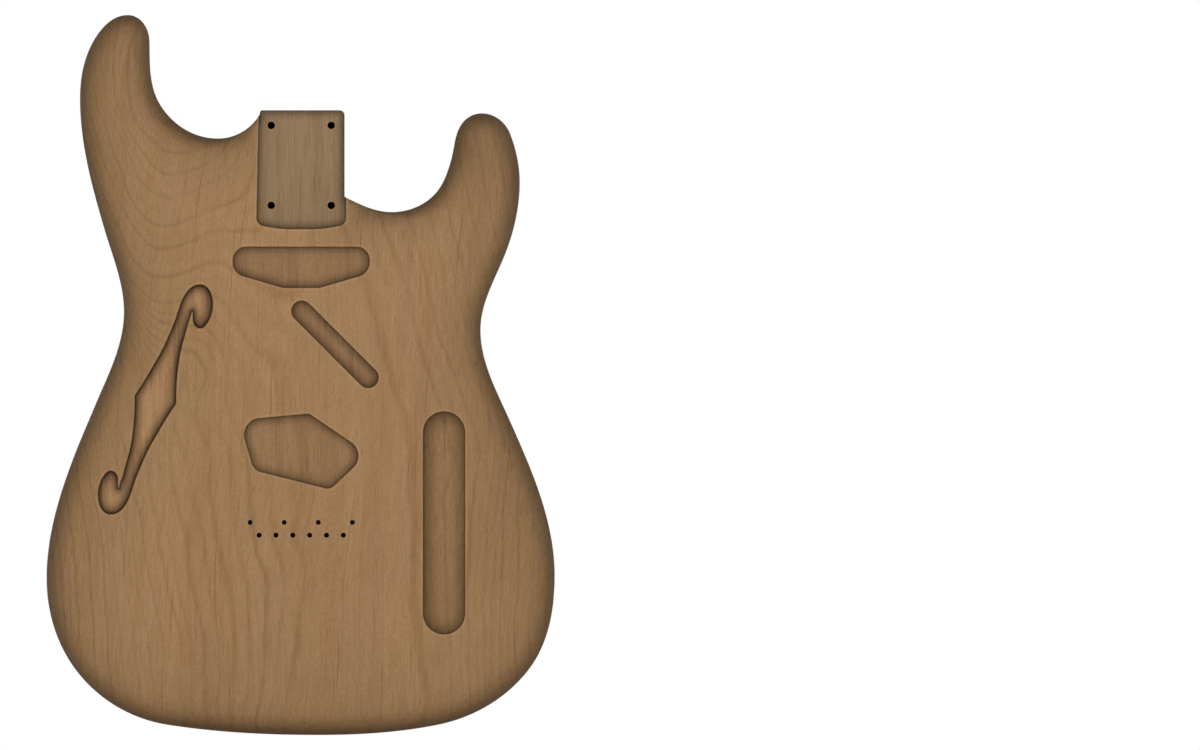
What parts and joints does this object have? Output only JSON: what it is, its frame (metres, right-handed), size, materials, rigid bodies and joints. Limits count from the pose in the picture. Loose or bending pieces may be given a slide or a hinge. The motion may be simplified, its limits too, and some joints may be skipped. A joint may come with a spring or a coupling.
{
  "type": "electric guitar body",
  "caption": "Bare offset double-cutaway electric guitar body with neck pocket, pickup, wiring and control cavities, sound hole and strings fed through the back.",
  "frame": {"origin": "on the neck pocket's floor, on the strings' centre line, in the middle of the four neck screw holes", "axes": "+Z towards the neck end, -Y out of the front face, +X to the treble side"},
  "size_m": [0.3227, 0.0445, 0.4572],
  "materials": {
    "face_wood": "bare sanded alder, fine open grain, matt",
    "core_wood": "bare milled alder, straight grain, matt",
    "dowel_wood": "plain birch dowel rod, matt"
  },
  "bodies": {
    "root": {"front_board": "face_wood", "back_board": "face_wood", "core_plank_bass": "core_wood", "core_plank_middle": "core_wood", "core_plank_treble": "core_wood", "front_dowel_upper": "dowel_wood", "front_dowel_lower": "dowel_wood", "back_dowel_upper": "dowel_wood", "back_dowel_lower": "dowel_wood"}
  },
  "joints": []
}
